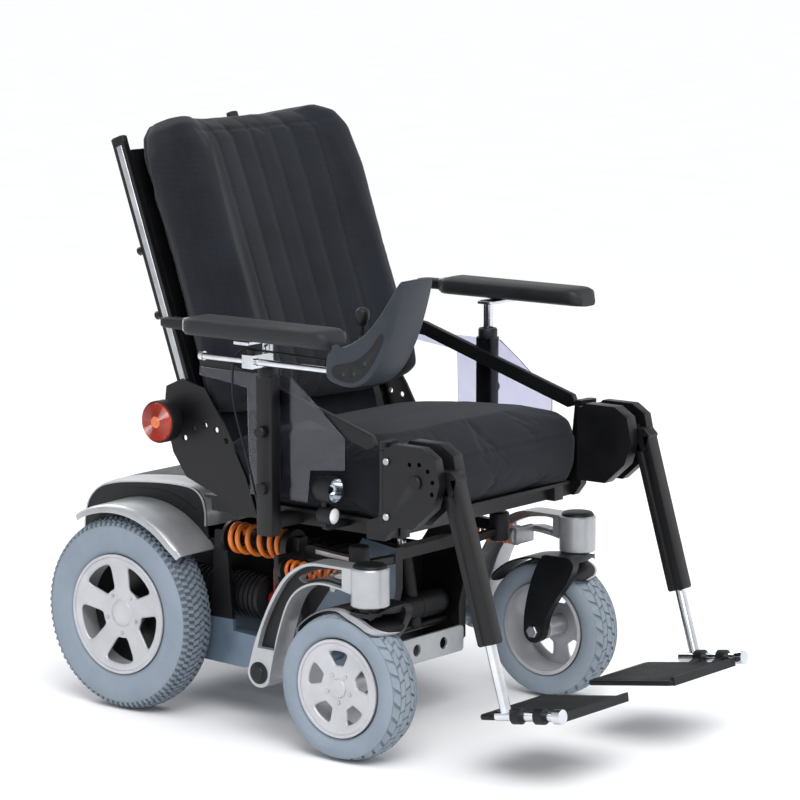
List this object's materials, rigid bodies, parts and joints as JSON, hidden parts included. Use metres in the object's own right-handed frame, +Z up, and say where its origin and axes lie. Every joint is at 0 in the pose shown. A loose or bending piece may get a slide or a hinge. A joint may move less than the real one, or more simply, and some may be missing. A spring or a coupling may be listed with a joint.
{
  "type": "power wheelchair",
  "caption": "Powered wheelchair with sprung drive wheels and swivelling castors, tilting padded seat, reclining back, height-adjustable armrests, joystick control and elevating legrests.",
  "frame": {"origin": "middle of the chair's footprint, on the floor", "axes": "+Z up, the chair faces -Y, +X is the seated user's left"},
  "size_m": [0.799, 1.1677, 1.0857],
  "materials": {
    "frame_paint": "metallic blue-grey paint",
    "silver_paint": "silver paint",
    "black_steel": "black powder coat",
    "black_plastic": "matt moulded",
    "battery_case": "moulded",
    "tyre_rubber": "matt grey",
    "rim_silver": "silver lacquer",
    "spring_orange": "gloss powder coat",
    "chrome": "polished",
    "seat_fabric": "woven",
    "pad_foam": "skinned foam",
    "lamp_glass": "clear lens over a reflector",
    "lamp_red": "ribbed lens",
    "guard_plastic": "tinted clear sheet",
    "handset_grey": "fine grain",
    "lever_red": "moulded"
  },
  "bodies": {
    "base": {"chassis_frame": "frame_paint", "battery_front": "battery_case", "battery_rear": "battery_case", "power_module": "black_plastic", "front_plate": "silver_paint", "base_shroud": "silver_paint", "tilt_actuator": "black_plastic", "drive_spring_right": "spring_orange", "drive_spring_left": "spring_orange", "castor_spring_right": "spring_orange", "castor_spring_left": "spring_orange"},
    "tilt_rod": {"tilt_rod": "chrome"},
    "seat": {"seat_frame": "black_steel", "seat_cushion": "seat_fabric", "headlamp_right": "lamp_glass", "headlamp_left": "lamp_glass", "tail_lamp_right": "lamp_red", "tail_lamp_left": "lamp_red", "armrest_socket_right": "black_steel", "armrest_socket_left": "black_steel", "side_guard_right": "guard_plastic", "side_guard_left": "guard_plastic", "joystick_cable": "black_plastic"},
    "backrest": {"back_frame": "black_steel", "back_cushion": "seat_fabric"},
    "drive_arm_right": {"drive_arm_right": "frame_paint", "drive_motor_right": "black_plastic"},
    "drive_wheel_right": {"drive_tyre_right": "tyre_rubber", "drive_rim_right": "rim_silver"},
    "brake_lever_right": {"brake_lever_right": "lever_red"},
    "castor_arm_right": {"castor_arm_right": "silver_paint"},
    "castor_swivel_right": {"castor_fork_right": "black_steel"},
    "castor_wheel_right": {"castor_tyre_right": "tyre_rubber", "castor_rim_right": "rim_silver"},
    "armrest_right": {"armrest_post_right": "chrome", "armrest_pad_right": "pad_foam"},
    "legrest_swing_right": {"legrest_housing_right": "black_steel"},
    "legrest_lift_right": {"legrest_hanger_right": "black_steel"},
    "legrest_length_right": {"legrest_tube_right": "chrome"},
    "footplate_right": {"footplate_right": "black_plastic"},
    "drive_arm_left": {"drive_arm_left": "frame_paint", "drive_motor_left": "black_plastic"},
    "drive_wheel_left": {"drive_tyre_left": "tyre_rubber", "drive_rim_left": "rim_silver"},
    "brake_lever_left": {"brake_lever_left": "lever_red"},
    "castor_arm_left": {"castor_arm_left": "silver_paint"},
    "castor_swivel_left": {"castor_fork_left": "black_steel"},
    "castor_wheel_left": {"castor_tyre_left": "tyre_rubber", "castor_rim_left": "rim_silver"},
    "armrest_left": {"armrest_post_left": "chrome", "armrest_pad_left": "pad_foam"},
    "legrest_swing_left": {"legrest_housing_left": "black_steel"},
    "legrest_lift_left": {"legrest_hanger_left": "black_steel"},
    "legrest_length_left": {"legrest_tube_left": "chrome"},
    "footplate_left": {"footplate_left": "black_plastic"},
    "joystick_slide": {"joystick_tube": "chrome", "joystick_housing": "handset_grey"},
    "joystick_pitch": {"joystick_gimbal": "black_plastic"},
    "joystick_roll": {"joystick_stick": "black_plastic"},
    "power_button": {"power_button": "lever_red"}
  },
  "joints": [
    {"name": "drive_arm_pivot_right", "type": "hinge", "parent": "base", "child": "drive_arm_right", "pos_m": [-0.2, 0.1208, 0.13], "axis": [1, 0, 0], "range_deg": [0, 3.5], "stiffness_Nm_per_rad": 2400, "springref_deg": -3.44, "deforming": ["drive_spring_right"]},
    {"name": "drive_wheel_spin_right", "type": "hinge", "parent": "drive_arm_right", "child": "drive_wheel_right", "pos_m": [-0.258, 0.4058, 0.178], "axis": [1, 0, 0], "continuous": true},
    {"name": "brake_lever_turn_right", "type": "hinge", "parent": "drive_arm_right", "child": "brake_lever_right", "pos_m": [-0.163, 0.1378, 0.222], "axis": [0, -1, 0], "range_deg": [0, 60]},
    {"name": "castor_arm_pivot_right", "type": "hinge", "parent": "base", "child": "castor_arm_right", "pos_m": [-0.304, 0.0328, 0.131], "axis": [-1, 0, 0], "range_deg": [0, 4.5], "stiffness_Nm_per_rad": 1500, "springref_deg": -3.44, "deforming": ["castor_spring_right"]},
    {"name": "castor_swivel_turn_right", "type": "hinge", "parent": "castor_arm_right", "child": "castor_swivel_right", "pos_m": [-0.304, -0.1962, 0.3], "axis": [0, 0, 1], "continuous": true},
    {"name": "castor_wheel_spin_right", "type": "hinge", "parent": "castor_swivel_right", "child": "castor_wheel_right", "pos_m": [-0.298, -0.1457, 0.13], "axis": [1, 0, 0], "continuous": true},
    {"name": "armrest_height_right", "type": "slide", "parent": "seat", "child": "armrest_right", "axis": [0, 0, 1], "range_m": [-0.01, 0.07], "deforming": ["joystick_cable"]},
    {"name": "legrest_swing_turn_right", "type": "hinge", "parent": "seat", "child": "legrest_swing_right", "pos_m": [-0.3, -0.2262, 0.495], "axis": [0, 0, -1], "range_deg": [0, 80]},
    {"name": "legrest_lift_turn_right", "type": "hinge", "parent": "legrest_swing_right", "child": "legrest_lift_right", "pos_m": [-0.283, -0.3062, 0.505], "axis": [-1, 0, 0], "range_deg": [0, 60]},
    {"name": "legrest_length_slide_right", "type": "slide", "parent": "legrest_lift_right", "child": "legrest_length_right", "axis": [0, -0.2854, -0.9584], "range_m": [-0.02, 0.05]},
    {"name": "footplate_fold_right", "type": "hinge", "parent": "legrest_length_right", "child": "footplate_right", "pos_m": [-0.275, -0.4462, 0.118], "axis": [0, -0.9899, 0.1414], "range_deg": [0, 85]},
    {"name": "drive_arm_pivot_left", "type": "hinge", "parent": "base", "child": "drive_arm_left", "pos_m": [0.2, 0.1208, 0.13], "axis": [1, 0, 0], "range_deg": [0, 3.5], "stiffness_Nm_per_rad": 2400, "springref_deg": -3.44, "deforming": ["drive_spring_left"]},
    {"name": "drive_wheel_spin_left", "type": "hinge", "parent": "drive_arm_left", "child": "drive_wheel_left", "pos_m": [0.258, 0.4058, 0.178], "axis": [1, 0, 0], "continuous": true},
    {"name": "brake_lever_turn_left", "type": "hinge", "parent": "drive_arm_left", "child": "brake_lever_left", "pos_m": [0.163, 0.1378, 0.222], "axis": [0, 1, 0], "range_deg": [0, 60]},
    {"name": "castor_arm_pivot_left", "type": "hinge", "parent": "base", "child": "castor_arm_left", "pos_m": [0.304, 0.0328, 0.131], "axis": [-1, 0, 0], "range_deg": [0, 4.5], "stiffness_Nm_per_rad": 1500, "springref_deg": -3.44, "deforming": ["castor_spring_left"]},
    {"name": "castor_swivel_turn_left", "type": "hinge", "parent": "castor_arm_left", "child": "castor_swivel_left", "pos_m": [0.304, -0.1962, 0.3], "axis": [0, 0, 1], "continuous": true},
    {"name": "castor_wheel_spin_left", "type": "hinge", "parent": "castor_swivel_left", "child": "castor_wheel_left", "pos_m": [0.298, -0.1457, 0.13], "axis": [1, 0, 0], "continuous": true},
    {"name": "armrest_height_left", "type": "slide", "parent": "seat", "child": "armrest_left", "axis": [0, 0, 1], "range_m": [-0.01, 0.07]},
    {"name": "legrest_swing_turn_left", "type": "hinge", "parent": "seat", "child": "legrest_swing_left", "pos_m": [0.3, -0.2262, 0.495], "axis": [0, 0, 1], "range_deg": [0, 80]},
    {"name": "legrest_lift_turn_left", "type": "hinge", "parent": "legrest_swing_left", "child": "legrest_lift_left", "pos_m": [0.283, -0.3062, 0.505], "axis": [-1, 0, 0], "range_deg": [0, 60]},
    {"name": "legrest_length_slide_left", "type": "slide", "parent": "legrest_lift_left", "child": "legrest_length_left", "axis": [0, -0.2854, -0.9584], "range_m": [-0.02, 0.05]},
    {"name": "footplate_fold_left", "type": "hinge", "parent": "legrest_length_left", "child": "footplate_left", "pos_m": [0.275, -0.4462, 0.118], "axis": [0, 0.9899, -0.1414], "range_deg": [0, 85]},
    {"name": "seat_tilt", "type": "hinge", "parent": "base", "child": "seat", "pos_m": [0, 0.1958, 0.372], "axis": [-1, 0, 0], "range_deg": [0, 20]},
    {"name": "actuator_stroke", "type": "slide", "parent": "base", "child": "tilt_rod", "axis": [0, 0.1741, 0.9847], "range_m": [-0.002, 0.08]},
    {"name": "back_recline", "type": "hinge", "parent": "seat", "child": "backrest", "pos_m": [0, 0.2078, 0.455], "axis": [-1, 0, 0], "range_deg": [-5, 30]},
    {"name": "joystick_reach", "type": "slide", "parent": "armrest_right", "child": "joystick_slide", "axis": [0, -1, 0], "range_m": [0, 0.05], "deforming": ["joystick_cable"]},
    {"name": "joystick_pitch_turn", "type": "hinge", "parent": "joystick_slide", "child": "joystick_pitch", "pos_m": [-0.357, -0.2232, 0.7385], "axis": [1, 0, 0], "range_deg": [-15, 15], "stiffness_Nm_per_rad": 0.15},
    {"name": "joystick_roll_turn", "type": "hinge", "parent": "joystick_pitch", "child": "joystick_roll", "pos_m": [-0.357, -0.2232, 0.7385], "axis": [0, 1, 0], "range_deg": [-15, 15], "stiffness_Nm_per_rad": 0.15},
    {"name": "power_button_press", "type": "slide", "parent": "joystick_slide", "child": "power_button", "axis": [0, -0.7379, -0.6749], "range_m": [0, 0.0015], "stiffness_N_per_m": 500}
  ],
  "couplings": [
    {"joint": "actuator_stroke", "follows": "seat_tilt", "m_per_rad": 0.2089}
  ]
}
